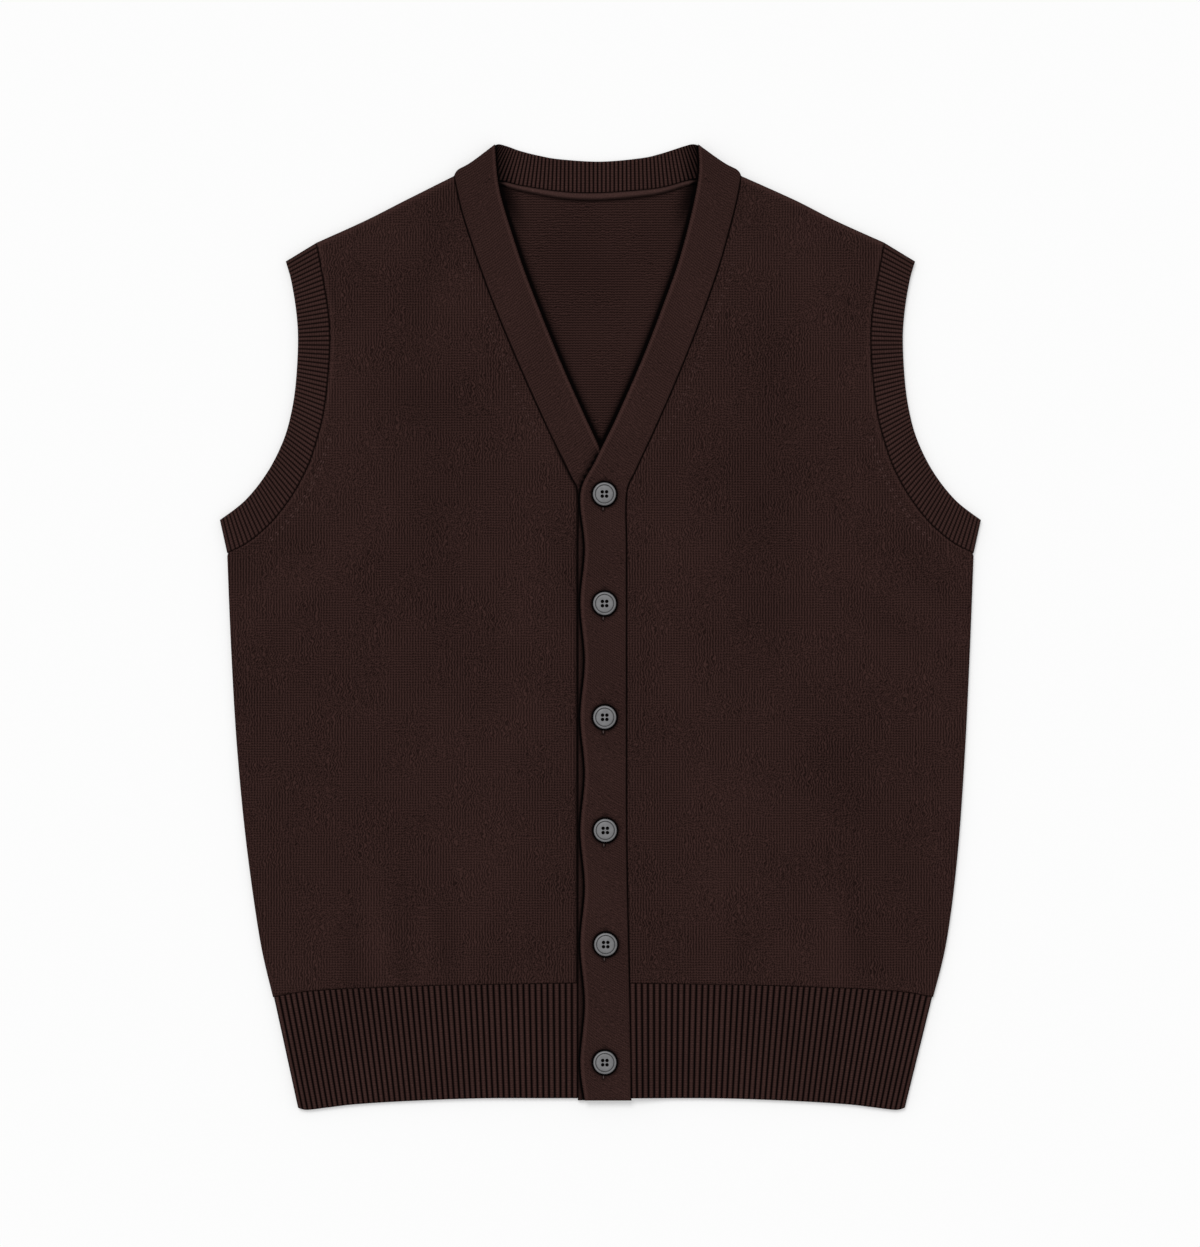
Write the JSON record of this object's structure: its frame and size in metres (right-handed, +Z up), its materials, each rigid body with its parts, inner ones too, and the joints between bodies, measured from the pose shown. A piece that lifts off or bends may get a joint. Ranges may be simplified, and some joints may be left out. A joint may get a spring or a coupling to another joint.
{
  "type": "knitted sweater vest",
  "caption": "Buttoned V-neck sleeveless knitted vest laid flat on its back, with ribbed hem, ribbed armhole bands, a ribbed back neckband and a smooth double-knit front band.",
  "frame": {"origin": "centre of the vest's outline, on the surface that it lies on", "axes": "+X to the right as seen from above, +Y from hem to neck, +Z up out of the cloth"},
  "size_m": [0.548, 0.6955, 0.0112],
  "materials": {
    "knit": "plain stitch, matt, very dark brown",
    "rib_knit": "ribbed stitch, matt, very dark brown",
    "band_knit": "smooth double knit, matt, very dark brown",
    "tape": "smooth knitted tape, brown",
    "button": "satin grey"
  },
  "bodies": {
    "root": {"back_panel": "knit", "front_panel_left": "knit", "front_panel_right": "knit", "hem_rib_back": "rib_knit", "hem_rib_front_left": "rib_knit", "hem_rib_front_right": "rib_knit", "armhole_band_left_front": "rib_knit", "armhole_band_left_back": "rib_knit", "armhole_band_right_front": "rib_knit", "armhole_band_right_back": "rib_knit", "front_band_left": "band_knit", "front_band_right": "band_knit", "neckband_back": "rib_knit", "neck_seam_tape": "tape", "button_1": "button", "button_2": "button", "button_3": "button", "button_4": "button", "button_5": "button", "button_6": "button"}
  },
  "joints": []
}
